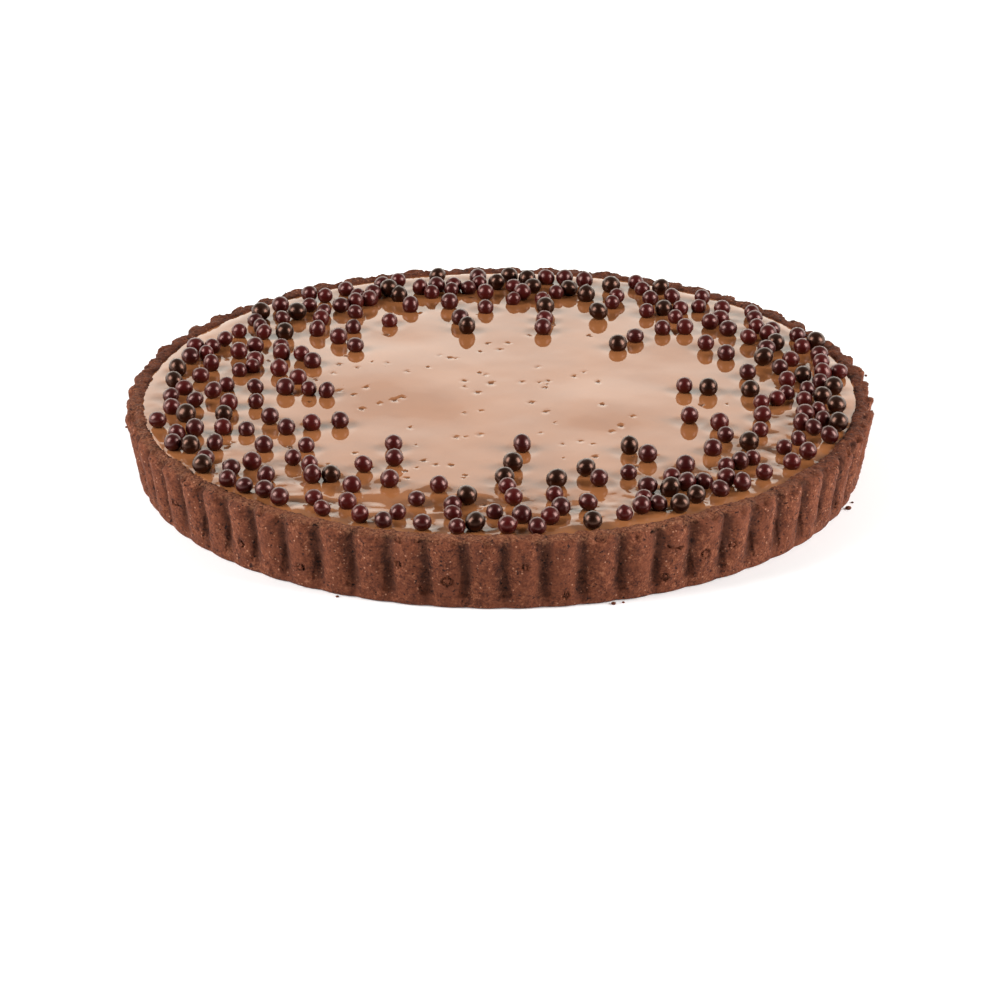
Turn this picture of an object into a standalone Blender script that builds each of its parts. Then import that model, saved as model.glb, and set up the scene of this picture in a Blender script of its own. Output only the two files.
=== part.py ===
"""A round chocolate tart: a fluted cocoa shortcrust shell, filled level with chocolate cream.

Run it with  blender --background --python part.py , or from Blender's text editor.
Metres, +Z up. The origin is the centre of the underside, on the surface that the tart stands on.
"""

import math

import bmesh
import bpy

# ---- Driving dimensions ---------------------------------------------------------------------

RIM_RADIUS = 0.125  # centre to the crest of a flute, at the rim: a 250 mm tart
SHELL_HEIGHT = 0.024
LEAN = 0.0035  # how much nearer the centre the foot of the wall is than its rim

FLUTES = 64
FLUTE_DEPTH_AT_RIM = 0.0019
FLUTE_DEPTH_AT_FOOT = 0.0015
GROOVE_SHARPNESS = 0.6  # below 1 the crests are broad and the grooves between them narrow
COLUMNS_PER_FLUTE = 6

WALL = 0.0066  # crest of a flute to the inside of the wall, at the rim
BASE = 0.0045  # thickness of the baked base
INNER_LEAN = 0.0030
RIM_ROUND = 0.0008  # the cut edge of the pastry, softened in the oven
FOOT_ROUND = 0.0010

GAP = 0.0003  # between the shell and what was poured into it
FILLING_COLUMNS = 128
FILL_LEVEL = SHELL_HEIGHT - 0.0002  # the cream is poured until it is level with the rim
EDGE_DROP = 0.0007  # the cream rolls down to the pastry all round
EDGE_WIDTH = 0.0080  # over this much of its radius

# ---- Colours, as linear light ---------------------------------------------------------------

COCOA_CRUST = (0.130, 0.050, 0.031, 1.0)
CHOCOLATE_CREAM = (0.300, 0.115, 0.045, 1.0)


def clear_scene():
    for thing in list(bpy.data.objects):
        bpy.data.objects.remove(thing, do_unlink=True)


def food_material(name, colour, roughness):
    material = bpy.data.materials.new(name)
    material.use_nodes = True
    shader = material.node_tree.nodes["Principled BSDF"]
    shader.inputs["Base Color"].default_value = colour
    shader.inputs["Roughness"].default_value = roughness
    shader.inputs["Metallic"].default_value = 0.0
    return material


def crest_share(angle):
    """0 at the bottom of a groove, 1 on the crest of a flute. A groove faces -Y."""
    return abs(math.sin(0.5 * FLUTES * (angle + math.pi / 2))) ** GROOVE_SHARPNESS


def ring(bm, columns, radius, height, flute_depth=0.0):
    """A closed ring of vertices, drawn in by flute_depth at each groove."""
    vertices = []
    for column in range(columns):
        angle = -math.pi / 2 + 2 * math.pi * column / columns
        reach = radius
        if flute_depth:
            reach -= flute_depth * (1 - crest_share(angle))
        vertices.append(bm.verts.new((reach * math.cos(angle), reach * math.sin(angle), height)))
    return vertices


def skin(bm, lower, upper):
    """The band of faces between two rings, facing out where the second ring is the higher one."""
    count = len(lower)
    for column in range(count):
        following = (column + 1) % count
        bm.faces.new((lower[column], lower[following], upper[following], upper[column]))


def close_with_fan(bm, edge, height, facing_up):
    centre = bm.verts.new((0, 0, height))
    count = len(edge)
    for column in range(count):
        corners = [edge[column], edge[(column + 1) % count], centre]
        bm.faces.new(corners if facing_up else reversed(corners))


def turned_solid(name, rings_of, bottom, top, material):
    """Skins the rings one after the other, closes the first below and the last above."""
    bm = bmesh.new()
    rings = rings_of(bm)
    for lower, upper in zip(rings, rings[1:]):
        skin(bm, lower, upper)
    close_with_fan(bm, rings[0], bottom, facing_up=False)
    close_with_fan(bm, rings[-1], top, facing_up=True)
    mesh = bpy.data.meshes.new(name)
    bm.to_mesh(mesh)
    bm.free()
    mesh.shade_smooth()
    mesh.set_sharp_from_angle(angle=math.radians(50))
    mesh.materials.append(material)
    solid = bpy.data.objects.new(name, mesh)
    bpy.context.scene.collection.objects.link(solid)
    return solid


def make_shell():
    """The pastry case: fluted outside where it was pressed into the tin, plain inside."""
    columns = FLUTES * COLUMNS_PER_FLUTE
    foot_radius = RIM_RADIUS - LEAN
    inner_rim = RIM_RADIUS - WALL
    inner_foot = inner_rim - INNER_LEAN

    def rings_of(bm):
        return [
            # outside, from the underside up to the rim
            ring(bm, columns, foot_radius - FOOT_ROUND, 0, FLUTE_DEPTH_AT_FOOT),
            ring(bm, columns, foot_radius, FOOT_ROUND, FLUTE_DEPTH_AT_FOOT),
            ring(bm, columns, RIM_RADIUS, SHELL_HEIGHT - RIM_ROUND, FLUTE_DEPTH_AT_RIM),
            # the flat cut edge of the pastry
            ring(bm, columns, RIM_RADIUS - RIM_ROUND, SHELL_HEIGHT, FLUTE_DEPTH_AT_RIM),
            ring(bm, columns, inner_rim + RIM_ROUND, SHELL_HEIGHT),
            # inside, from the rim down to the base
            ring(bm, columns, inner_rim, SHELL_HEIGHT - RIM_ROUND),
            ring(bm, columns, inner_foot, BASE),
        ]

    material = food_material("cocoa_shortcrust", COCOA_CRUST, 0.85)
    return turned_solid("crust", rings_of, 0, BASE, material)


def make_filling():
    """The set cream: it fills the case and rolls down a little to meet the pastry."""
    edge_radius = RIM_RADIUS - WALL - GAP
    foot_radius = edge_radius - INNER_LEAN

    def rings_of(bm):
        rings = [ring(bm, FILLING_COLUMNS, foot_radius, BASE + GAP)]
        for inwards, drop in ((0, 1), (0.2, 0.45), (0.5, 0.12), (1, 0)):
            radius = edge_radius - inwards * EDGE_WIDTH
            rings.append(ring(bm, FILLING_COLUMNS, radius, FILL_LEVEL - drop * EDGE_DROP))
        return rings

    material = food_material("chocolate_cream", CHOCOLATE_CREAM, 0.12)
    return turned_solid("filling", rings_of, BASE + GAP, FILL_LEVEL, material)


clear_scene()
make_shell()
make_filling()
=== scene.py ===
"""A whole round chocolate tart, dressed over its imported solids: a baked cocoa shell, poured milk
chocolate cream, and two kinds of chocolate pearls scattered round the edge. Metres, +Z up."""

import math
import random

import bmesh
import bpy
from mathutils import Matrix, Vector, bvhtree, kdtree, noise


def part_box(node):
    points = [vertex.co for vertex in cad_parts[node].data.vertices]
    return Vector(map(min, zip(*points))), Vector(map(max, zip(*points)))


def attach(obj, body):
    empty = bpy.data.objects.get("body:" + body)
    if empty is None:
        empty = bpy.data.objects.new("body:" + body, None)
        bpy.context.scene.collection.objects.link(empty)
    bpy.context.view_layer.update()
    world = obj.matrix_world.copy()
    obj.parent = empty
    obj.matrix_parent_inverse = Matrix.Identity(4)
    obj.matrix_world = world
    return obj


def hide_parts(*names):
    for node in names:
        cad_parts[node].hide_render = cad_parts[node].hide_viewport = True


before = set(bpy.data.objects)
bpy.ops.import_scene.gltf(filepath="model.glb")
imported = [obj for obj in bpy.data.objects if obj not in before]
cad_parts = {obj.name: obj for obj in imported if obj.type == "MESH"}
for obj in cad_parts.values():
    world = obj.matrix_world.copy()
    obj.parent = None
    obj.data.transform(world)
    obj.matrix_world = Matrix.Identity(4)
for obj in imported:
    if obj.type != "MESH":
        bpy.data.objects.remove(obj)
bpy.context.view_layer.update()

# ---- The pastry shell -----------------------------------------------------------------------
# One shell of cocoa shortcrust, pressed into a fluted tin, baked blind and turned out. It is
# raised here as a potter would: a fluted ring at the foot is drawn up into the wall, over the
# rim and down inside, and then the oven's work is added: swelling, grain, pits, blisters, chips.

shell_low, shell_high = (Vector(corner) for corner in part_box("crust"))
SHELL_HEIGHT = shell_high.z
FLUTES = 64
RIM_RADIUS = shell_high.x / math.cos(math.pi / FLUTES)  # crest of a flute at the rim
FOOT_RADIUS = RIM_RADIUS - 0.0035
STEPS_PER_FLUTE = 24
COLUMNS = FLUTES * STEPS_PER_FLUTE
FLUTE_DEPTH = 0.0026  # at the rim, less at the foot
WALL_ROWS = 38


def start_mesh(name):
    """The primitive that has just been added, named and ready in edit mode."""
    made = bpy.context.object
    made.name = made.data.name = name
    bpy.ops.object.mode_set(mode="EDIT")
    return made


def pick(piece, chosen, faces=False):
    """In edit mode: selects the vertices, or the faces, whose place and normal are chosen."""
    bpy.ops.mesh.select_all(action="DESELECT")
    mesh = bmesh.from_edit_mesh(piece.data)
    if faces:
        for face in mesh.faces:
            face.select_set(chosen(face.calc_center_median(), face.normal))
    else:
        for vertex in mesh.verts:
            vertex.select_set(chosen(vertex.co, vertex.normal))
        mesh.select_flush(True)
    bmesh.update_edit_mesh(piece.data, loop_triangles=False, destructive=False)


def draw_on(radius_share, rise, rounding=0.0):
    """Extrudes the selected ring once, scales it about the axis, lifts it, and rounds it off."""
    bpy.ops.mesh.extrude_edges_move(TRANSFORM_OT_translate={"value": (0, 0, rise)})
    bpy.ops.transform.resize(value=(radius_share, radius_share, 1), center_override=(0, 0, 0))
    if rounding:
        bpy.ops.transform.tosphere(value=rounding)


def close_ring():
    """Fills the selected ring: one more ring at half the radius, then all of it to the centre."""
    draw_on(0.5, 0)
    bpy.ops.mesh.extrude_edges_move()
    bpy.ops.mesh.merge(type="CENTER")


WALL_TOP = SHELL_HEIGHT - 0.0013
bpy.ops.object.select_all(action="DESELECT")
bpy.ops.mesh.primitive_circle_add(vertices=COLUMNS, radius=RIM_RADIUS, location=(0, 0, WALL_TOP))
bpy.ops.object.transform_apply()
shell = start_mesh("pastry_shell")
bpy.ops.transform.rotate(value=math.pi / 2, orient_axis="Z", center_override=(0, 0, 0))

# The flutes: the same column of every flute is drawn in together, least at the crest.
for step in range(STEPS_PER_FLUTE // 2 + 1):
    share = math.sin(math.pi * step / STEPS_PER_FLUTE) ** 2
    drawn_in = FLUTE_DEPTH * (1 - ((share + 0.02) ** 0.34 - 0.264) / 0.743)

    def in_column(place, _):
        turn = (math.atan2(place.y, place.x) + math.pi / 2) * COLUMNS / (2 * math.pi)
        column = round(turn) % STEPS_PER_FLUTE
        return column in (step, STEPS_PER_FLUTE - step)

    pick(shell, in_column)
    scale = 1 - drawn_in / RIM_RADIUS
    bpy.ops.transform.resize(value=(scale, scale, 1), center_override=(0, 0, 0))



def draw_along(rings, radius, height):
    """Draws the selected ring through each (radius, height, rounding) in turn."""
    for next_radius, next_height, rounding in rings:
        draw_on(next_radius / radius, next_height - height, rounding)
        radius, height = next_radius, next_height


FOOT_RISE = 0.0009
wall = [
    (
        RIM_RADIUS + (FOOT_RADIUS - RIM_RADIUS) * row / WALL_ROWS,
        WALL_TOP + (FOOT_RISE - WALL_TOP) * row / WALL_ROWS,
        0.004 + 0.17 * (row / WALL_ROWS) ** 5,
    )
    for row in range(1, WALL_ROWS + 1)
]
foot = [(FOOT_RADIUS - 0.0003, 0.0003, 0), (FOOT_RADIUS - 0.0010, 0, 0), (FOOT_RADIUS - 0.0040, 0, 0.8)]
# The cut edge, in millimetres from the crest and below the top: rounded outside, a low crown,
# then a slope down to where the cream meets it, while the flutes fade out.
edge = [
    (0.08, 0.90, 0),
    (0.35, 0.50, 0),
    (0.80, 0.20, 0),
    (1.40, 0.05, 0.04),
    (2.05, 0.00, 0.08),
    (2.75, 0.00, 0.12),
    (3.45, 0.02, 0.18),
    (4.15, 0.06, 0.25),
    (4.85, 0.15, 0.35),
    (5.45, 0.32, 0.50),
    (6.00, 0.68, 0.80),
    (6.40, 1.50, 1.00),
    (6.60, 3.00, 1.00),
    (9.50, 18.50, 1.00),
]
rim = [(RIM_RADIUS - inwards / 1000, SHELL_HEIGHT - down / 1000, turn) for inwards, down, turn in edge]

bpy.ops.mesh.select_all(action="SELECT")
draw_along(wall + foot, RIM_RADIUS, WALL_TOP)
close_ring()
pick(shell, lambda place, _: place.z > WALL_TOP - 1e-5)
draw_along(rim, RIM_RADIUS, WALL_TOP)
close_ring()
# The inner edge isn't quite round: it is a little wider than it is deep.
NOT_ROUND = (1.003, 0.995, 1)
pick(shell, lambda place, _: place.z > 0.004 and math.hypot(place.x, place.y) < RIM_RADIUS - 0.0039)
bpy.ops.transform.resize(value=NOT_ROUND, center_override=(0, 0, 0))
bpy.ops.mesh.select_all(action="SELECT")
bpy.ops.mesh.normals_make_consistent(inside=False)

# Blisters that burst as it baked: a shallow ring with a crumb of pastry left in the middle.
# Each is a clock angle in degrees to the right of the front, a height and a radius, in mm.
blisters = [
    (-8.2, 9.9, 1.6), (-0.2, 9.6, 1.2), (-12, 6, 1.0), (-15.5, 14.5, 1.2), (-31, 7.5, 1.3), (-28, 4.5, 1.5),
    (-42, 9.5, 1.2), (16, 12, 1.2), (24, 6, 1.4), (30.6, 11.5, 1.4), (35.3, 12, 1.4), (51, 8, 1.4),
    (9, 4, 1.0), (-58, 12, 1.3), (63, 5, 1.3), (-73, 6, 1.4), (82, 12, 1.3), (44, 15, 1.1), (3, 15.5, 1.1),
]
chance = random.Random(11)
for turn in range(95, 265, 11):
    blisters.append((turn + chance.uniform(-4, 4), chance.uniform(4, 15), chance.uniform(0.8, 1.4)))


def on_wall(turn, height):
    """The place on the wall, at the crest's radius, at a clock angle and a height in mm."""
    angle = math.radians(turn) - math.pi / 2
    radius = FOOT_RADIUS + (RIM_RADIUS - FOOT_RADIUS) * height / 23
    return Vector((radius * math.cos(angle), radius * math.sin(angle), height / 1000))


burst = [(on_wall(turn, height), radius / 1000 + 0.0004) for turn, height, radius in blisters]
pick(shell, lambda place, _: any((place - spot).length < reach for spot, reach in burst), faces=True)
bpy.ops.mesh.inset(thickness=0.00030, depth=-0.00070, use_even_offset=False)
bpy.ops.mesh.inset(thickness=0.00030, depth=0.0, use_even_offset=False)
bpy.ops.mesh.inset(thickness=0.00020, depth=0.00060, use_even_offset=False)

# A crack that curves under the edge, where the dough folded as it was pressed into the tin.
crack = [on_wall(24 + 5 * t / 12, 16.0 + 9 * (t / 12 - 0.4) ** 2) for t in range(13)]
pick(shell, lambda place, _: any((place - spot).length < 0.0008 for spot in crack), faces=True)
bpy.ops.mesh.inset(thickness=0.0001, depth=-0.0011, use_even_offset=False)
bpy.ops.object.mode_set(mode="OBJECT")


def weigh(piece, name, weight):
    """A vertex group that gives each vertex the weight of its place."""
    group = piece.vertex_groups.new(name=name)
    for vertex in piece.data.vertices:
        share = weight(vertex.co)
        if share > 0:
            group.add([vertex.index], min(share, 1), "REPLACE")


def bake_in(piece, name, kind, size, strength, group, mid=0.5, ramp=None, direction="NORMAL"):
    """Moves the surface along its normals by a texture whose features are size metres across."""
    texture = bpy.data.textures.new(name, kind)
    texture.noise_scale = size
    if ramp:
        texture.use_color_ramp = True
        for stop, (position, value) in zip(texture.color_ramp.elements, ramp):
            stop.position = position
            stop.color = (value, value, value, 1)
    modifier = piece.modifiers.new(name, "DISPLACE")
    modifier.texture = texture
    modifier.texture_coords = "LOCAL"
    modifier.direction = direction
    modifier.strength = strength
    modifier.mid_level = mid
    modifier.vertex_group = group
    with bpy.context.temp_override(object=piece, active_object=piece):
        bpy.ops.object.modifier_apply(modifier=name)


def let_down(piece, group, depth):
    """Lowers the surface by the depth, as far as the group weighs each vertex."""
    modifier = piece.modifiers.new(group, "DISPLACE")
    modifier.direction = "Z"
    modifier.mid_level = 0
    modifier.strength = -depth
    modifier.vertex_group = group
    with bpy.context.temp_override(object=piece, active_object=piece):
        bpy.ops.object.modifier_apply(modifier=group)


def between(value, low, high):
    return max(0.0, min(1.0, (value - low) / (high - low)))


def facing(place, turn, spread):
    """1 towards the clock angle, in degrees to the right of the front, and 0 from spread away."""
    angle = math.degrees(math.atan2(place.x, -place.y))
    return 1 - between(abs((angle - turn + 180) % 360 - 180), 0, spread)


def outside(place):
    reach = math.hypot(place.x, place.y)
    return between(place.z, 0.0001, 0.0016) * between(reach, 0.1165, 0.1185)


def low_down(place):
    return outside(place) * (1 - 0.8 * between(place.z, 0.004, 0.013))


def pitted(place):
    patch = noise.noise(place * 90) + 0.6 * noise.noise(place * 260)
    return outside(place) * between(patch, -0.25, 0.55)


def outer_edge(place):
    reach = math.hypot(place.x, place.y)
    return between(place.z, SHELL_HEIGHT - 0.0035, SHELL_HEIGHT - 0.0008) * between(reach, 0.1208, 0.1232)


def worn(place):
    """The outer edge of the rim is worn down along the front."""
    reach = math.hypot(place.x, place.y)
    share = between(reach, 0.1220, 0.1250) ** 1.6 * between(facing(place, -10, 110), 0, 0.5)
    return between(place.z, SHELL_HEIGHT - 0.0035, SHELL_HEIGHT - 0.0012) * share


def inner_edge(place):
    reach = math.hypot(place.x, place.y)
    return between(place.z, 0.0195, 0.0215) * between(reach, 0.1165, 0.1178) * (1 - between(reach, 0.1200, 0.1216))


weigh(shell, "outside", outside)
weigh(shell, "worn", worn)
weigh(shell, "inner_edge", inner_edge)
let_down(shell, "worn", 0.0011)
weigh(shell, "low_down", low_down)
weigh(shell, "pitted", pitted)
weigh(shell, "outer_edge", outer_edge)
bake_in(shell, "swelling", "CLOUDS", 0.030, 0.0016, "outside")
bake_in(shell, "lumps", "CLOUDS", 0.0055, 0.0009, "outside")
bake_in(shell, "chips", "CLOUDS", 0.0042, -0.0018, "outer_edge", mid=0, ramp=[(0.46, 0), (0.70, 1)])
bake_in(shell, "ragged", "CLOUDS", 0.0045, 0.0011, "inner_edge")
bake_in(shell, "nibbled", "CLOUDS", 0.0014, 0.0006, "inner_edge")
bake_in(shell, "grain", "CLOUDS", 0.0014, 0.0005, "outside")
bake_in(shell, "crumb", "CLOUDS", 0.0022, 0.0007, "low_down")
bake_in(shell, "pits", "VORONOI", 0.0030, -0.0004, "pitted", mid=0, ramp=[(0.05, 1), (0.22, 0)])
shell.vertex_groups.clear()
shell.data.shade_smooth()


def linear(colour):
    """A colour written as sRGB hex, as the linear light that the shaders take."""
    parts = [int(colour[i : i + 2], 16) / 255 for i in (1, 3, 5)]
    return [p / 12.92 if p <= 0.04045 else ((p + 0.055) / 1.055) ** 2.4 for p in parts] + [1]


def start_material(piece, name):
    """A new material on the piece, with its Principled shader ready to be set."""
    material = bpy.data.materials.new(name)
    material.use_nodes = True
    piece.data.materials.clear()
    piece.data.materials.append(material)
    return material.node_tree, material.node_tree.nodes["Principled BSDF"].inputs


def add_node(tree, kind, sockets, **settings):
    """One more node, with its settings, and its sockets set to values or joined to outputs."""
    added = tree.nodes.new("ShaderNode" + kind)
    for name, value in settings.items():
        setattr(added, name, value)
    for name, value in sockets.items():
        if isinstance(value, bpy.types.NodeSocket):
            tree.links.new(value, added.inputs[name])
        else:
            added.inputs[name].default_value = value
    return added


# Cocoa shortcrust, baked: dull and porous, with tan grains of sugar and open pores darkened with painted
# shade. It is sandy where the crumb is open, smoother where fat came to the surface, and painted
# darker in the grooves: painted shade.
tree, crust = start_material(shell, "baked_cocoa_shortcrust")
place = add_node(tree, "TexCoord", {}).outputs["Object"]
patches = add_node(tree, "TexNoise", {"Vector": place, "Scale": 120, "Detail": 4, "Roughness": 0.6})
sandy = add_node(tree, "MapRange", {"Value": patches.outputs["Fac"], "From Min": 0.38, "From Max": 0.58})
sandiness = add_node(tree, "Math", {0: sandy.outputs[0], 1: 0.40, 2: 0.45}, operation="MULTIPLY_ADD")
mottles = add_node(tree, "TexNoise", {"Vector": place, "Scale": 420, "Detail": 2})
grains = add_node(tree, "TexNoise", {"Vector": place, "Scale": 1300, "Detail": 2, "Roughness": 0.7})
mixed = add_node(tree, "Mix", {"Factor": 0.40, "A": grains.outputs["Fac"], "B": mottles.outputs["Fac"]})
spread = add_node(
    tree, "MapRange",
    {"Value": mixed.outputs[0], "From Min": 0.36, "From Max": 0.64, "To Min": -0.5, "To Max": 0.5},
)
lightness = add_node(tree, "Math", {0: spread.outputs[0], 1: sandiness.outputs[0], 2: 0.5}, operation="MULTIPLY_ADD")
crumb = add_node(tree, "ValToRGB", {"Fac": lightness.outputs[0]})
ramp = crumb.color_ramp.elements
ramp[0].color, ramp[1].color = linear("#35160B"), linear("#8C573D")
ramp.new(0.34).color = linear("#562B1A")
ramp.new(0.64).color = linear("#6A3823")
sugar = add_node(tree, "TexVoronoi", {"Vector": place, "Scale": 1100, "Randomness": 1.0})
picked = add_node(tree, "SeparateColor", {"Color": sugar.outputs["Color"]})
is_sugar = add_node(tree, "Math", {0: picked.outputs[0], 1: 0.93}, operation="GREATER_THAN")
near_sugar = add_node(tree, "MapRange", {"Value": sugar.outputs["Distance"], "From Min": 0.42, "From Max": 0.20})
sugar_share = add_node(tree, "Math", {0: is_sugar.outputs[0], 1: near_sugar.outputs[0]}, operation="MULTIPLY")
sugared = add_node(
    tree, "Mix", {"Factor": sugar_share.outputs[0], "A": crumb.outputs["Color"], "B": linear("#9C6C54")},
    data_type="RGBA",
)
# Dark open pores: their dark is painted shade, and the bump below presses them in.
pores = add_node(tree, "TexNoise", {"Vector": place, "Scale": 650, "Detail": 3, "Roughness": 0.6})
pore = add_node(tree, "MapRange", {"Value": pores.outputs["Fac"], "From Min": 0.365, "From Max": 0.315})
pored = add_node(
    tree, "Mix", {"Factor": pore.outputs[0], "A": sugared.outputs["Result"], "B": linear("#2E150D")}, data_type="RGBA"
)
# How near it is to the middle of a groove: 1 there, 0 on the lobes, at the foot and on the rim.
# The colour is darkened there as painted shade.
axes = add_node(tree, "SeparateXYZ", {"Vector": place})
around = add_node(tree, "Math", {0: axes.outputs["Y"], 1: axes.outputs["X"]}, operation="ARCTAN2")
flute = add_node(tree, "Math", {0: around.outputs[0], 1: FLUTES / (2 * math.pi), 2: FLUTES / 4}, operation="MULTIPLY_ADD")
wobble = add_node(tree, "Math", {0: patches.outputs["Fac"], 1: 0.30, 2: flute.outputs[0]}, operation="MULTIPLY_ADD")
centred = add_node(tree, "Math", {0: wobble.outputs[0], 1: 0.15}, operation="SUBTRACT")
apart = add_node(tree, "Math", {0: centred.outputs[0], 1: 0.5}, operation="PINGPONG")
deep = add_node(tree, "MapRange", {"Value": apart.outputs[0], "From Min": 0.26, "From Max": 0.06}, interpolation_type="SMOOTHSTEP")
above_foot = add_node(tree, "MapRange", {"Value": axes.outputs["Z"], "From Min": 0.0005, "From Max": 0.0065})
below_rim = add_node(tree, "MapRange", {"Value": axes.outputs["Z"], "From Min": SHELL_HEIGHT + 0.0002, "From Max": SHELL_HEIGHT - 0.0008})
height_share = add_node(tree, "Math", {0: above_foot.outputs[0], 1: below_rim.outputs[0]}, operation="MULTIPLY")
groove = add_node(tree, "Math", {0: deep.outputs[0], 1: height_share.outputs[0]}, operation="MULTIPLY")
groove_painted_shade = add_node(tree, "MapRange", {"Value": groove.outputs[0], "To Min": 1.0, "To Max": 0.50})
groove_shaded = add_node(
    tree, "Mix", {"Factor": 1.0, "A": pored.outputs["Result"], "B": groove_painted_shade.outputs[0]},
    data_type="RGBA", blend_type="MULTIPLY",
)
# The rim's top is darker than the wall and a little olive, painted darker towards its inner edge as
# painted shade where it slopes down to the cream. Along the front a pale band, speckled with the sugar
# in the grain, is painted inside the worn edge instead: painted highlight.
on_top = add_node(
    tree, "MapRange", {"Value": axes.outputs["Z"], "From Min": SHELL_HEIGHT - 0.0018, "From Max": SHELL_HEIGHT - 0.0010}
)
flat = add_node(tree, "CombineXYZ", {"X": axes.outputs["X"], "Y": axes.outputs["Y"]})
reach = add_node(tree, "VectorMath", {0: flat.outputs[0]}, operation="LENGTH")
backwards = add_node(tree, "VectorMath", {0: flat.outputs[0], 1: (0.34, 0.94, 0)}, operation="DOT_PRODUCT")
frontal = add_node(tree, "MapRange", {"Value": backwards.outputs["Value"], "From Min": -0.02, "From Max": -0.085})
rim_shade_off_front = add_node(tree, "MapRange", {"Value": frontal.outputs[0], "To Min": 1.0, "To Max": 0.30})
inward = add_node(tree, "MapRange", {"Value": reach.outputs["Value"], "From Min": 0.1242, "From Max": 0.1222, "To Min": 0.25})
inner = add_node(tree, "Math", {0: inward.outputs[0], 1: rim_shade_off_front.outputs[0]}, operation="MULTIPLY")
rim_shade_share = add_node(tree, "Math", {0: inner.outputs[0], 1: on_top.outputs[0]}, operation="MULTIPLY")
darkened = add_node(
    tree, "Mix", {"Factor": rim_shade_share.outputs[0], "A": groove_shaded.outputs["Result"], "B": linear("#D9D2CB")},
    data_type="RGBA", blend_type="MULTIPLY",
)
# Painted highlight: a pale tan band along the front of the rim's top, speckled with the grain.
inside_edge = add_node(tree, "MapRange", {"Value": reach.outputs["Value"], "From Min": 0.1236, "From Max": 0.1226})
front_highlight_band = add_node(tree, "Math", {0: inside_edge.outputs[0], 1: frontal.outputs[0]}, operation="MULTIPLY")
speckled = add_node(
    tree, "MapRange", {"Value": grains.outputs["Fac"], "From Min": 0.40, "From Max": 0.62, "To Min": 0.0, "To Max": 0.30}
)
front_highlight_on_top = add_node(tree, "Math", {0: front_highlight_band.outputs[0], 1: on_top.outputs[0]}, operation="MULTIPLY")
speckled_highlight_share = add_node(tree, "Math", {0: front_highlight_on_top.outputs[0], 1: speckled.outputs[0]}, operation="MULTIPLY")
edged = add_node(
    tree, "Mix", {"Factor": speckled_highlight_share.outputs[0], "A": darkened.outputs["Result"], "B": linear("#9A6A4C")},
    data_type="RGBA",
)
crust["Roughness"].default_value = 0.80
crust["Specular IOR Level"].default_value = 0.18
tree.links.new(edged.outputs["Result"], crust["Base Color"])
rise = add_node(tree, "Math", {0: grains.outputs["Fac"], 1: sandiness.outputs[0]}, operation="MULTIPLY")
height = add_node(tree, "Math", {0: pore.outputs[0], 1: -0.9, 2: rise.outputs[0]}, operation="MULTIPLY_ADD")
bump = add_node(tree, "Bump", {"Height": height.outputs[0], "Strength": 1.0, "Distance": 0.0005})
tree.links.new(bump.outputs["Normal"], crust["Normal"])
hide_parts("crust")
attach(shell, "root")


# ---- The chocolate cream --------------------------------------------------------------------
# Milk chocolate cream, poured warm into the shell until it stood level with the edge, and set
# with a mirror-bright skin. It swells and dips a little, rolls down to the pastry all round, and
# is dotted with the pits of burst air bubbles.

CREAM_RADIUS = RIM_RADIUS - 0.0060  # its edge runs in just under the pastry's inner slope
CREAM_LEVEL = SHELL_HEIGHT - 0.0001
MIDDLE_RADIUS = 0.084
RINGS = 35
EDGE_DROP = 0.0006
BASE_LEVEL = 0.0048

bpy.ops.object.select_all(action="DESELECT")
bpy.ops.mesh.primitive_circle_add(vertices=600, radius=MIDDLE_RADIUS, location=(0, 0, CREAM_LEVEL))
bpy.ops.object.transform_apply()
cream = start_mesh("chocolate_cream")
bpy.ops.mesh.select_all(action="SELECT")
bpy.ops.mesh.fill_grid(span=150)
pick(cream, lambda place, _: math.hypot(place.x, place.y) > MIDDLE_RADIUS - 1e-5)
skirt = []
for step in range(1, RINGS + 1):
    reach = MIDDLE_RADIUS + (CREAM_RADIUS - MIDDLE_RADIUS) * step / RINGS
    skirt.append((reach, CREAM_LEVEL - EDGE_DROP * between(reach, CREAM_RADIUS - 0.005, CREAM_RADIUS) ** 2, 0))
draw_along(skirt + [(CREAM_RADIUS - 0.0025, BASE_LEVEL, 0)], MIDDLE_RADIUS, CREAM_LEVEL)
close_ring()

# Where it set a little high or low: places in mm from the middle, a width and a rise, in mm.
swells = [
    (-38, 19, 46, 1.15), (-16, -6, 26, 0.34), (-33, 64, 22, 0.64), (36, -12, 26, 0.50), (62, 48, 24, 0.35),
    (-62, -14, 24, 0.25), (30, -60, 20, 0.15),
]
for x, y, width, rise in swells:
    middle = Vector((x / 1000, y / 1000, CREAM_LEVEL))
    pick(cream, lambda place, _: (place - middle).length < 0.0015)
    bpy.ops.transform.translate(
        value=(0, 0, rise / 1000),
        use_proportional_edit=True,
        proportional_edit_falloff="SMOOTH",
        proportional_size=width / 1000,
    )
bpy.ops.mesh.select_all(action="SELECT")
bpy.ops.transform.resize(value=NOT_ROUND, center_override=(0, 0, 0))
bpy.ops.mesh.normals_make_consistent(inside=False)

# Burst bubbles left pits. They gather in twos and threes, most of them near the middle. The mesh is
# made finer where each one goes, and later they are pressed in.
pits = []
while len(pits) < 105:
    reach, turn = 0.095 * math.sqrt(chance.random()), chance.uniform(0, 2 * math.pi)
    if chance.random() < 1.2 - reach / 0.085:
        for _ in range(chance.choice((1, 1, 1, 2, 2, 3))):
            spread = Vector((chance.gauss(0, 0.005), chance.gauss(0, 0.005), 0))
            pits.append(Vector((reach * math.cos(turn) - 0.010, reach * math.sin(turn) - 0.005, 0)) + spread)
pit_sizes = [0.00055 + 0.00065 * chance.random() ** 1.5 for _ in pits]
pit_places = kdtree.KDTree(len(pits))
for index, place in enumerate(pits):
    pit_places.insert(place, index)
pit_places.balance()


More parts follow.
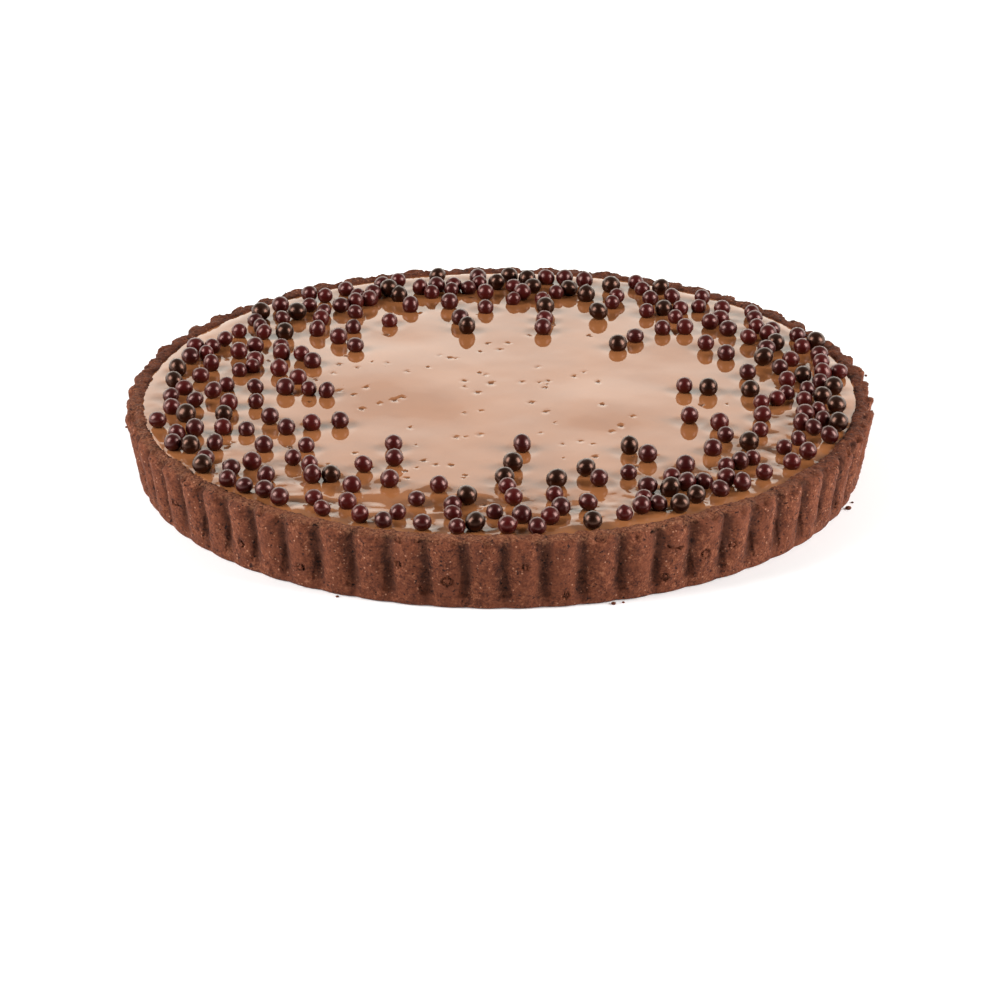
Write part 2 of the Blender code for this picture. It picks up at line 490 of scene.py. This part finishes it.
def nearest_pit(place):
    """How far the nearest pit is, and its radius."""
    _, index, distance = pit_places.find(Vector((place.x, place.y, 0)))
    return distance, pit_sizes[index]


def by_a_pit(place, _):
    distance, size = nearest_pit(place)
    return place.z > 0.018 and distance < size + 0.0004


pick(cream, by_a_pit, faces=True)
bpy.ops.mesh.subdivide(number_cuts=4)
bpy.ops.object.mode_set(mode="OBJECT")
cream.data.shade_smooth()


def pressed_in(place):
    """A pit is steep at its lip and flat at the bottom."""
    distance, size = nearest_pit(place)
    return between(place.z, 0.018, 0.019) * size / 0.0014 * between(size - distance, 0, 0.45 * size)


def rolled(place):
    """It rolls down to a ledge along the front, where the edge of the pastry is worn lowest."""
    share = between(place.xy.length, 0.080, 0.106)
    towards = facing(place, -14, 32) + facing(place, 52, 34) + 0.05
    return between(place.z, 0.016, 0.0205) * share * share * (3 - 2 * share) * min(towards, 1)


def brim(place):
    """Along the right of the front it turns down to the pastry in a brim."""
    share = between(place.xy.length, CREAM_RADIUS - 0.0075, CREAM_RADIUS)
    return between(place.z, 0.016, 0.0205) * share**2 * between(facing(place, 40, 60), 0, 0.5)


def held_up(place):
    """At the left it stays level right out to the pastry."""
    share = between(place.xy.length, CREAM_RADIUS - 0.0055, CREAM_RADIUS)
    return between(place.z, 0.016, 0.0205) * share**2 * between(facing(place, -66, 36), 0, 0.5)


def uneasy(place):
    """Where the skin is wrinkled: all round the border, and most along the front."""
    front = 0.28 + 0.72 * between(facing(place, 8, 80), 0, 0.5)
    return between(place.z, 0.016, 0.0205) * between(place.xy.length, 0.082, 0.102) * front


weigh(cream, "skin", lambda place: between(place.z, 0.016, 0.0205))
weigh(cream, "rolled", rolled)
weigh(cream, "brim", brim)
weigh(cream, "held_up", held_up)
weigh(cream, "uneasy", uneasy)
weigh(cream, "pressed_in", pressed_in)
bake_in(cream, "swell", "CLOUDS", 0.040, 0.00030, "skin", direction="Z")
bake_in(cream, "ripple", "CLOUDS", 0.013, 0.00008, "skin", direction="Z")
bake_in(cream, "wrinkle", "CLOUDS", 0.0075, 0.00078, "uneasy", direction="Z")
bake_in(cream, "crease", "CLOUDS", 0.0032, 0.00010, "uneasy", direction="Z")
let_down(cream, "rolled", 0.00115)
let_down(cream, "brim", 0.00060)
let_down(cream, "held_up", -0.00040)
let_down(cream, "pressed_in", 0.00040)
# How far into a pit each vertex lies, kept for the painted shade in the pits.
shaded_pits = cream.data.attributes.new("pit", "FLOAT", "POINT")
shaded_pits.data.foreach_set("value", [min(1, pressed_in(corner.co) * 1.6) for corner in cream.data.vertices])
cream.vertex_groups.clear()

# Milk chocolate cream, set against the air: a warm tan brown, smooth enough to mirror whatever
# stands on it, and painted darker down in the pits: painted shade.
tree, glaze = start_material(cream, "set_milk_chocolate_cream")
place = add_node(tree, "TexCoord", {}).outputs["Object"]
streaks = add_node(tree, "TexNoise", {"Vector": place, "Scale": 45, "Detail": 3})
streak = add_node(tree, "MapRange", {"Value": streaks.outputs["Fac"], "From Min": 0.35, "From Max": 0.65})
mixed = add_node(
    tree, "Mix", {"Factor": streak.outputs[0], "A": linear("#905B37"), "B": linear("#875432")}, data_type="RGBA"
)
# Painted shade in the pits, by the pit attribute.
in_a_pit = add_node(tree, "Attribute", {}, attribute_name="pit").outputs["Fac"]
pitted = add_node(
    tree, "Mix", {"Factor": in_a_pit, "A": mixed.outputs["Result"], "B": linear("#5C3720")}, data_type="RGBA"
)
tree.links.new(pitted.outputs["Result"], glaze["Base Color"])
glaze["Roughness"].default_value = 0.012
axes = add_node(tree, "SeparateXYZ", {"Vector": place})
level = add_node(tree, "CombineXYZ", {"X": axes.outputs["X"], "Y": axes.outputs["Y"]})
reach = add_node(tree, "VectorMath", {0: level.outputs[0]}, operation="LENGTH")
wrinkled = add_node(tree, "MapRange", {"Value": reach.outputs["Value"], "From Min": 0.080, "From Max": 0.098, "To Min": 0.10})
wrinkles = add_node(tree, "TexNoise", {"Vector": place, "Scale": 320, "Detail": 4, "Roughness": 0.6})
skin_height = add_node(tree, "Math", {0: wrinkles.outputs["Fac"], 1: wrinkled.outputs[0]}, operation="MULTIPLY")
skin_bump = add_node(tree, "Bump", {"Height": skin_height.outputs[0], "Strength": 1.0, "Distance": 0.00002})
tree.links.new(skin_bump.outputs["Normal"], glaze["Normal"])
glaze["IOR"].default_value = 1.50
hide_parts("filling")
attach(cream, "root")


# ---- The chocolate pearls -------------------------------------------------------------------
# Cereal pearls coated in chocolate and polished: most are an aubergine brown, and some are
# near-black and a little larger. They were strewn by hand while the cream was soft, thick at the
# edge and thin towards the middle, and stand in it by a hair's breadth.

# For each ten degrees of clock angle to the right of the front: the angle of each pearl and how
# far out it lies, in mm. A minus sign marks a near-black one.
strewn = {
    0: [(7.5, 51), (3, -66), (0.5, -77), (1, 84), (2, 94), (-1.5, 104), (0.5, 117), (3, 108), (5, 117)],
    10: [(7.5, 110), (10, 103), (10, 93), (12, -82), (15, 102), (13.5, -117), (19.5, 112)],
    20: [(20.5, -76), (21, 85), (23, 110), (25, 104), (28, 97), (26, 110), (28.5, -115)],
    30: [(28.5, 84), (31, -102), (33, -111), (35, 101), (34.5, 95), (38, 103), (38, 111)],
    40: [(38, -67), (38, 76), (40.5, 90), (41.5, 107), (42, 113), (46, 100), (48.5, 101), (48, 112)],
    50: [(51.5, 87), (52, 102), (54.5, 114), (57.5, -95), (59, 85), (59, 115)],
    60: [(59.5, 106), (64.5, 107), (65.5, 93), (66, 68), (65, 79), (67, 116)],
    70: [(69.5, 109), (71.5, 104), (72.5, -116), (74, 110), (73.5, 90), (76.5, 104), (78, 107)],
    80: [(80.5, 88), (80.5, -113), (82.5, 102), (83, 93), (84.5, -108), (86.5, 96), (88, -84)],
    90: [(87.5, 103), (88.5, -70), (90, 62), (89, -112), (92, 108), (92.5, 97), (95, -103)],
    100: [(95.5, 110), (96.5, 116), (98, 85), (100, 97), (101, 112), (104, 103), (105, 114)],
    110: [(105.5, -94), (109.5, 112), (110, -116), (111.5, 84), (110.5, 99), (112, -103), (115, 115)],
    120: [(117.5, 98), (117.5, 106), (119.5, 110), (119, 82), (122, 107), (124, 97), (126, 112)],
    130: [(128.5, 115), (129.5, 97), (130, 102), (130.5, 86), (133, 109), (134, 80), (134.5, -58)],
    140: [(135.5, 68), (137, 92), (137.5, 106), (139.5, 113), (139.5, 100), (142, -96), (144, 90)],
    150: [(144.5, 108), (147.5, 102), (148.5, -113), (151.5, 110), (154, 115), (154, 98), (153.5, 92), (153.5, -80)],
    160: [(157.5, -108), (160.5, -96), (163, 109), (165, -100), (167, 110), (167, 96), (164.5, 59), (166, 69)],
    170: [(167.5, -79), (169.5, 89), (170.5, 110), (172.5, -100), (174, -107), (174.5, 92), (176, 88), (176.5, 99)],
    180: [(177.5, -110), (-180, -103), (-176.5, 103), (-176.5, 109), (-177.5, 93), (-177, 79), (-174, 100)],
    -170: [(-171.5, 102), (-170.5, 98), (-169, -112), (-168, 104), (-166, 98), (-164.5, 102), (-168.5, 85), (-169, 69), (-169.5, -59)],
    -160: [(-161.5, 112), (-159, -99), (-159, 86), (-157, -104), (-158, 110), (-156, 104)],
    -150: [(-150, 76), (-151, 112), (-151.5, 104), (-152, 99), (-149.5, 98), (-146, 90), (-145.5, 98)],
    -140: [(-145.5, 110), (-144, 113), (-140.5, 105), (-141, 98), (-137.5, 92), (-139.5, 78), (-136, -102)],
    -130: [(-136.5, 112), (-132, 85), (-132, 102), (-131, -111), (-131.5, 74), (-129.5, 64), (-128.5, 109)],
    -120: [(-125.5, 102), (-123.5, 98), (-126, -92), (-119, 86), (-121.5, 106), (-116.5, 106), (-115.5, 93)],
    -110: [(-114.5, 82), (-112.5, 107), (-112, 113), (-111.5, 96), (-108.5, 88), (-108.5, 106), (-115.5, 75), (-112.5, 69)],
    -100: [(-106, 110), (-104.5, 87), (-103.5, 101), (-102, 90), (-104, 77), (-100, -111), (-99.5, 69), (-97.5, 102)],
    -90: [(-94, -110), (-91, 106), (-93, 92), (-91, 82), (-91, 72), (-90, 64), (-88.5, 58), (-89, 96)],
    -80: [(-87.5, 110), (-84.5, 102), (-82, 110), (-82, 82), (-82, 91), (-78, -106), (-76, -94), (-76, 116)],
    -70: [(-71.5, 80), (-69.5, 97), (-70.5, 106), (-70.5, 112), (-67.5, 90), (-66, 116)],
    -60: [(-64, -112), (-63, 104), (-64, 78), (-64, 69), (-61.5, 60), (-58, 112), (-57.5, 91), (-55.5, -116)],
    -50: [(-51.5, 110), (-51.5, 102), (-52, 80), (-48.5, 116), (-48, 90), (-45.5, 105), (-44.5, 116)],
    -40: [(-43, 90), (-41, 114), (-38.5, 96), (-37, 116), (-36.5, -92), (-35.5, 60)],
    -30: [(-32.5, 110), (-33.5, 80), (-30, 95), (-29, 116), (-29, 71), (-27, 107)],
    -20: [(-22.5, 116), (-24.5, 86), (-18.5, 117), (-17.5, 109), (-16, 98)],
    -10: [(-13.5, 86), (-12.5, 116), (-9, 99), (-8.5, 106), (-7, -94), (-7, 117), (-4.5, -114)],
}
LAST_PLACE = 0.1170  # where the pastry stops them
SEEN_FROM = math.radians(22.8)  # how steeply one looked down on them when the places were read


skin = bvhtree.BVHTree.FromObject(cream, bpy.context.evaluated_depsgraph_get())


def floor_under(place):
    return skin.ray_cast(Vector((place.x, place.y, 0.05)), Vector((0, 0, -1)))[0].z



pearls = []
for sector in strewn.values():
    for turn, reach in sector:
        angle = math.radians(turn) - math.pi / 2
        radius = chance.uniform(0.00300, 0.00335) if reach < 0 else chance.uniform(0.00268, 0.00318)
        place = Vector((math.cos(angle), math.sin(angle), 0)) * abs(reach) / 1000
        # They were read as if the skin were level and the ring round. It is a little shorter than
        # it is wide, and where the skin lies lower, a pearl lies further back than it seems to.
        place = place * Vector((0.996, 0.986, 1)) - Vector((0, 0.0012, 0))
        place.y += (CREAM_LEVEL - floor_under(place)) / math.tan(SEEN_FROM)
        pearls.append((place, radius, reach < 0))

# No two can share a place: they are nudged apart until each just touches its neighbours.
for _ in range(20):
    for index, (place, radius, _) in enumerate(pearls):
        for other, other_radius, _ in pearls[index + 1 :]:
            gap = other - place
            overlap = 0.98 * (radius + other_radius) - gap.length
            if overlap > 0:
                nudge = gap.normalized() * overlap / 2
                other += nudge
                place -= nudge
        if place.length > LAST_PLACE:
            place *= LAST_PLACE / place.length

# The shapes they come in: a round one, one with a tip, one drawn out and one flattened.
shapes = []
for tip, draw in ((0, (1, 1, 1)), (0.16, (1, 1, 1)), (0.05, (0.95, 0.95, 1.07)), (0, (1.05, 1.03, 0.93))):
    bpy.ops.object.select_all(action="DESELECT")
    bpy.ops.mesh.primitive_cube_add(size=1.5)
    pearl = start_mesh("pearl")
    bpy.ops.mesh.subdivide(number_cuts=3)
    bpy.ops.transform.tosphere(value=1)
    size = max(corner.co.length for corner in bmesh.from_edit_mesh(pearl.data).verts)
    bpy.ops.transform.resize(value=[side / size for side in draw], center_override=(0, 0, 0))
    pick(pearl, lambda place, _: place.z > 0.9 * draw[2] and math.hypot(place.x, place.y) < 0.1)
    bpy.ops.transform.translate(
        value=(0, 0, tip),
        use_proportional_edit=True,
        proportional_edit_falloff="SHARP",
        proportional_size=0.9,
    )
    bpy.ops.object.mode_set(mode="OBJECT")
    pearl.data.shade_smooth()
    shapes.append(pearl)

near_black, aubergine = [], []
for place, radius, dark in pearls:
    model = chance.choices(shapes, (6, 1, 3, 4))[0]
    pearl = bpy.data.objects.new("pearl", model.data.copy())
    bpy.context.scene.collection.objects.link(pearl)
    lying = Matrix.Rotation(chance.uniform(0, 6.28), 4, "Z") @ Matrix.Rotation(chance.uniform(-1.3, 1.3), 4, "X")
    sunk = chance.uniform(0.0005, 0.0014)
    lifted = Matrix.Translation(place + Vector((0, 0, floor_under(place) - sunk + radius)))
    pearl.data.transform(lifted @ lying @ Matrix.Scale(radius, 4))
    tone = pearl.data.attributes.new("tone", "FLOAT", "POINT")
    tone.data.foreach_set("value", [chance.random()] * len(pearl.data.vertices))
    (near_black if dark else aubergine).append(pearl)
for model in shapes:
    bpy.data.objects.remove(model)

# The skin dips round each of them, where it was pressed down.
DIP = 0.00016
feet = kdtree.KDTree(len(pearls))
for index, (place, _, _) in enumerate(pearls):
    feet.insert(place, index)
feet.balance()


def foot_distance(place):
    return feet.find(Vector((place.x, place.y, 0)))[2]


def dipped(place):
    share = 1 - between(foot_distance(place), 0.0022, 0.0072)
    return between(place.z, 0.018, 0.019) * share * share * (3 - 2 * share)


bpy.context.view_layer.objects.active = cream
bpy.ops.object.mode_set(mode="EDIT")
pick(cream, lambda place, _: place.z > 0.018 and 0.0012 < foot_distance(place) < 0.0048, faces=True)
bpy.ops.mesh.subdivide(number_cuts=1)
bpy.ops.object.mode_set(mode="OBJECT")
weigh(cream, "dipped", dipped)
let_down(cream, "dipped", DIP)
cream.vertex_groups.clear()


def join_all(pieces, name):
    """Joins the pieces into one, which takes the name."""
    bpy.ops.object.select_all(action="DESELECT")
    for piece in pieces:
        piece.select_set(True)
    bpy.context.view_layer.objects.active = pieces[0]
    bpy.ops.object.join()
    bpy.ops.object.select_all(action="DESELECT")
    pieces[0].name = pieces[0].data.name = name
    return pieces[0]


# A panned chocolate coat, polished with glaze: satin, not glass, so the lamps show as soft spots
# and its edge turns pale against the light. The tone differs from pearl to pearl.
coats = (
    ("aubergine_pearls", aubergine, "#220405", "#440B0A", "#FFCBC2"),
    ("near_black_pearls", near_black, "#0E0302", "#1C0904", "#FFBFA5"),
)
for name, pieces, darkest, lightest, sheen in coats:
    joined = join_all(pieces, name)
    tree, coat = start_material(joined, "glazed_chocolate_coat_" + name.removesuffix("_pearls"))
    tone = add_node(tree, "Attribute", {}, attribute_name="tone").outputs["Fac"]
    place = add_node(tree, "TexCoord", {}).outputs["Object"]
    cloudy = add_node(tree, "TexNoise", {"Vector": place, "Scale": 500, "Detail": 2})
    share = add_node(tree, "Mix", {"Factor": 0.35, "A": tone, "B": cloudy.outputs["Fac"]})
    colour = add_node(
        tree, "Mix", {"Factor": share.outputs[0], "A": linear(darkest), "B": linear(lightest)}, data_type="RGBA"
    )
    tree.links.new(colour.outputs["Result"], coat["Base Color"])
    coat["Roughness"].default_value = 0.29
    coat["IOR"].default_value = 1.58
    coat["Specular Tint"].default_value = linear(sheen)
    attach(joined, "root")


# ---- The crumbs -----------------------------------------------------------------------------
# Crumbs of the same shortcrust, rubbed off the shell as it came out of the tin. A few lie at its
# foot, and a few hang on the ragged outer edge.

# The clock angle of each in degrees to the right of the front, its height and its radius, in mm.
fallen = [
    (16, 0.3, 0.7), (17.5, 0.2, 0.4), (68, 0.4, 0.9), (70.5, 0.2, 0.4), (-25, 0.2, 0.45), (118, 0.3, 0.6),
    (-131, 0.3, 0.7), (-162, 0.2, 0.5), (-112, 22.6, 0.5), (97, 22.6, 0.5), (-78, 22.6, 0.5), (128, 22.6, 0.5),
]
crumbs = []
for turn, height, radius in fallen:
    bpy.ops.object.select_all(action="DESELECT")
    bpy.ops.mesh.primitive_ico_sphere_add(subdivisions=2, radius=radius / 1000)
    crumb = start_mesh("crumb")
    bpy.ops.mesh.select_all(action="SELECT")
    bpy.ops.mesh.subdivide(number_cuts=1, fractal=0.6, seed=len(crumbs))
    bpy.ops.object.mode_set(mode="OBJECT")
    lain = on_wall(turn, height)
    lain *= (lain.length + 0.0004) / lain.length
    squashed = Matrix.Diagonal((1.2, 1.0, 0.75, 1))
    crumb.data.transform(Matrix.Translation(lain) @ Matrix.Rotation(chance.uniform(0, 6.28), 4, "Z") @ squashed)
    crumbs.append(crumb)
crumbs = join_all(crumbs, "crust_crumbs")
crumbs.data.materials.clear()
crumbs.data.materials.append(shell.data.materials[0])
crumbs.data.shade_smooth()
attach(crumbs, "root")

# ---- The table, the light and the camera ----------------------------------------------------
# A white table in front of a white backdrop, with a large soft lamp on each side. The camera
# stands over a metre away with a long lens and looks down on the tart by a little over 22
# degrees.

bpy.ops.object.select_all(action="DESELECT")
bpy.ops.mesh.primitive_plane_add(size=8)
table = bpy.context.object
table.name = "table"
tree, paper = start_material(table, "white_table")
paper["Base Color"].default_value = linear("#F6F6F7")
paper["Roughness"].default_value = 0.7
paper["Specular IOR Level"].default_value = 0.2
paper["Emission Color"].default_value = (1, 1, 1, 1)
paper["Emission Strength"].default_value = 0.10

world = bpy.data.worlds.new("studio")
bpy.context.scene.world = world
world.use_nodes = True
tree = world.node_tree
direction = add_node(tree, "TexCoord", {}).outputs["Generated"]
parts = add_node(tree, "SeparateXYZ", {"Vector": direction})
height = add_node(tree, "Math", {0: parts.outputs["Z"]}, operation="ARCSINE").outputs[0]
climbed = add_node(tree, "Math", {0: height, 1: math.radians(40)}, operation="DIVIDE")
cloth = add_node(tree, "ValToRGB", {"Fac": climbed.outputs[0]})
ramp = cloth.color_ramp.elements
ramp[0].color, ramp[1].color = (0.84, 0.84, 0.84, 1), (0.11, 0.11, 0.11, 1)
for degrees, brightness in ((20, 0.84), (22.5, 0.73), (24.7, 0.67), (24.9, 0.62), (27.5, 0.59), (27.8, 0.11)):
    ramp.new(degrees / 40).color = (brightness, brightness, brightness, 1)
backdrop = add_node(tree, "Math", {0: cloth.outputs["Color"], 1: 2.8}, operation="MULTIPLY")
front = add_node(
    tree, "MapRange",
    {"Value": parts.outputs["Y"], "From Min": -0.5, "From Max": 0.2, "To Min": 0.06, "To Max": 1.0},
)
both = add_node(tree, "Math", {0: backdrop.outputs[0], 1: front.outputs[0]}, operation="MULTIPLY")
seen = add_node(tree, "LightPath", {}).outputs["Is Camera Ray"]
light = add_node(tree, "Mix", {"Factor": seen, "A": both.outputs[0], "B": 1.0})
tree.links.new(light.outputs[0], tree.nodes["Background"].inputs["Strength"])
tree.nodes["Background"].inputs["Color"].default_value = (1, 0.97, 0.88, 1)

for name, towards, power in (("left_lamp", (-0.80, -0.25, 0.54), 19), ("right_lamp", (0.86, -0.29, 0.43), 21)):
    lamp_data = bpy.data.lights.new(name, "AREA")
    lamp_data.shape = "RECTANGLE"
    lamp_data.size = 0.60
    lamp_data.size_y = 0.85
    lamp_data.energy = power
    lamp = bpy.data.objects.new(name, lamp_data)
    bpy.context.scene.collection.objects.link(lamp)
    lamp.location = Vector(towards) * 1.2
    lamp.rotation_euler = Vector(towards).to_track_quat("Z", "Y").to_euler()
    lamp.visible_camera = False

camera_data = bpy.data.cameras.new("camera")
camera_data.sensor_width = 36
camera_data.lens = 129.35
camera = bpy.data.objects.new("camera", camera_data)
bpy.context.scene.collection.objects.link(camera)
tilt = math.radians(22.81)
stand = Vector((0, -math.cos(tilt), math.sin(tilt))) * 1.2125
camera.matrix_world = (
    Matrix.Rotation(-0.0103, 4, "Z")
    @ Matrix.Translation(stand)
    @ Matrix.Rotation(math.pi / 2 - tilt - 0.0119, 4, "X")
    @ Matrix.Rotation(-0.0032, 4, "Z")
)
bpy.context.scene.camera = camera
bpy.context.scene.view_settings.view_transform = "Standard"
